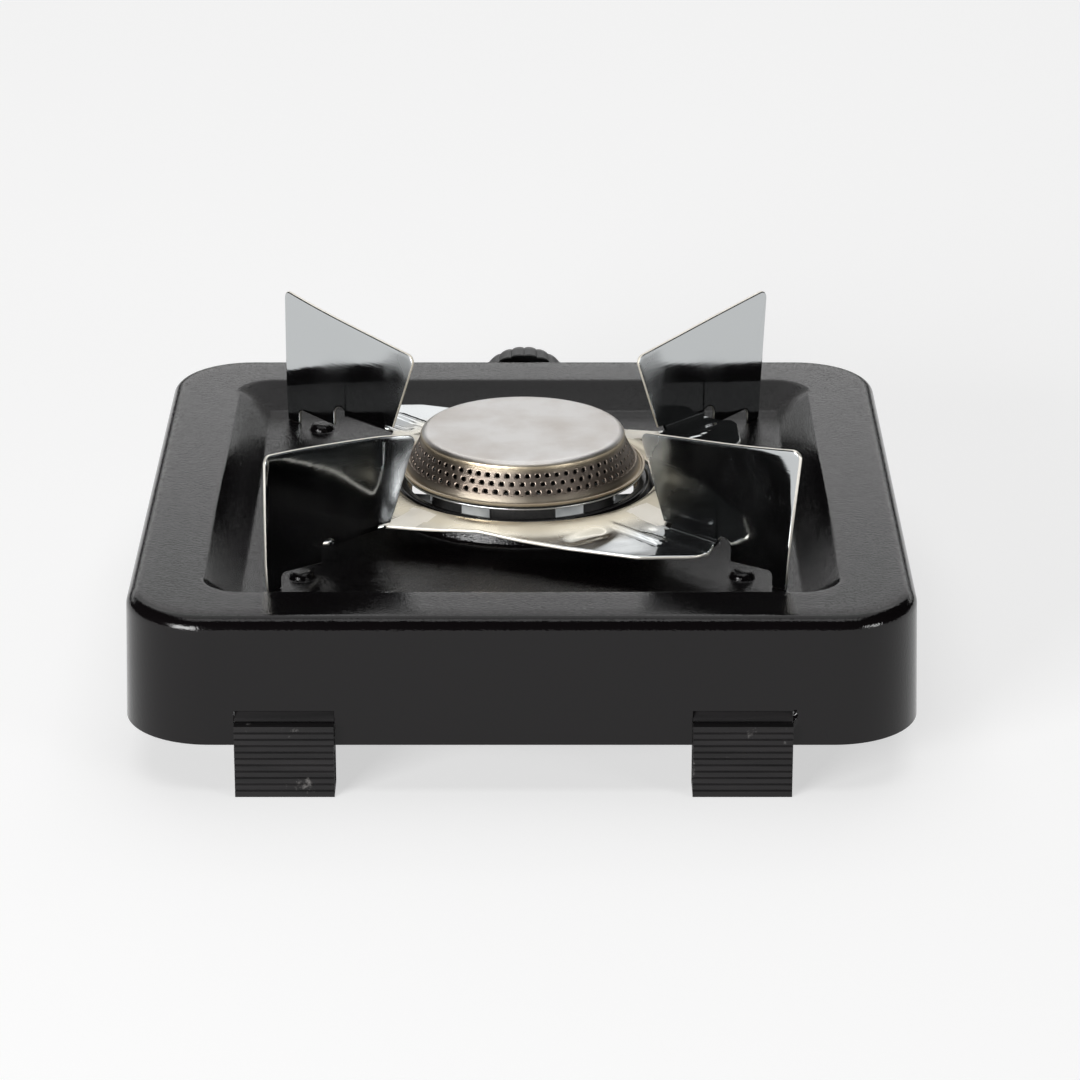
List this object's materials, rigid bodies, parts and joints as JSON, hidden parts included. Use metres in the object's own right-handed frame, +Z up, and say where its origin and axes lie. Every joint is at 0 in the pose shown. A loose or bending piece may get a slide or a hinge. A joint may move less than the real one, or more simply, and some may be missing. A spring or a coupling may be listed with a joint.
{
  "type": "gas stove",
  "caption": "Square single-burner gas stove: black enamelled tray body, lift-off pan support with upright wings, perforated burner cap, side tap knob and hose nozzle.",
  "frame": {"origin": "on the burner's axis, level with the undersides of the feet (the table)", "axes": "+Z up along the burner's axis; +Y towards the side with the tap's knob and hose nozzle; +X to the right for someone who looks along +Y"},
  "size_m": [0.278, 0.312, 0.108],
  "materials": {
    "black_enamel": "glossy vitreous enamel",
    "chrome_sheet": "mirror-bright chrome plate",
    "stainless_cap": "satin stamped stainless steel, heat-tinted",
    "black_casting": "black heat-resistant paint on cast aluminium",
    "bright_zinc": "bright zinc plate",
    "brass_part": "turned brass",
    "copper_pipe": "drawn copper",
    "seal_rubber": "nitrile rubber",
    "knob_plastic": "moulded phenolic plastic",
    "foot_plastic": "extruded plastic, fine ribs, scuffed"
  },
  "bodies": {
    "stove": {"body_shell": "black_enamel", "burner_cup": "black_casting", "burner_seat": "bright_zinc", "burner_strap": "bright_zinc", "strap_screws": "bright_zinc", "mixing_tube": "bright_zinc", "jet": "brass_part", "valve_body": "brass_part", "valve_bonnet": "brass_part", "valve_bracket": "bright_zinc", "valve_screws": "bright_zinc", "hose_nozzle": "brass_part", "nozzle_nut": "brass_part", "gas_pipe": "copper_pipe", "foot_front_left": "foot_plastic", "foot_front_right": "foot_plastic", "foot_rear_left": "foot_plastic", "foot_rear_right": "foot_plastic"},
    "rack": {"pan_support": "chrome_sheet"},
    "cap": {"burner_cap": "stainless_cap"},
    "shutter": {"air_shutter": "brass_part"},
    "plug": {"valve_plug": "brass_part", "valve_spring": "bright_zinc"},
    "knob_group": {"knob": "knob_plastic", "knob_clip": "bright_zinc", "spindle": "bright_zinc", "spindle_seal": "seal_rubber"}
  },
  "joints": [
    {"name": "rack_lift", "type": "slide", "parent": "stove", "child": "rack", "axis": [0, 0, 1], "range_m": [0, 0.06]},
    {"name": "cap_lift", "type": "slide", "parent": "stove", "child": "cap", "axis": [0, 0, 1], "range_m": [0, 0.045]},
    {"name": "shutter_turn", "type": "hinge", "parent": "stove", "child": "shutter", "pos_m": [0, 0.089, 0.042], "axis": [0, 1, 0], "range_deg": [0, 45]},
    {"name": "knob_turn", "type": "hinge", "parent": "stove", "child": "plug", "pos_m": [0, 0.112, 0.042], "axis": [0, 1, 0], "range_deg": [0, 180]},
    {"name": "knob_push", "type": "slide", "parent": "plug", "child": "knob_group", "axis": [0, -1, 0], "range_m": [0, 0.003], "stiffness_N_per_m": 900, "springref_m": -0.004, "deforming": ["valve_spring"]}
  ]
}
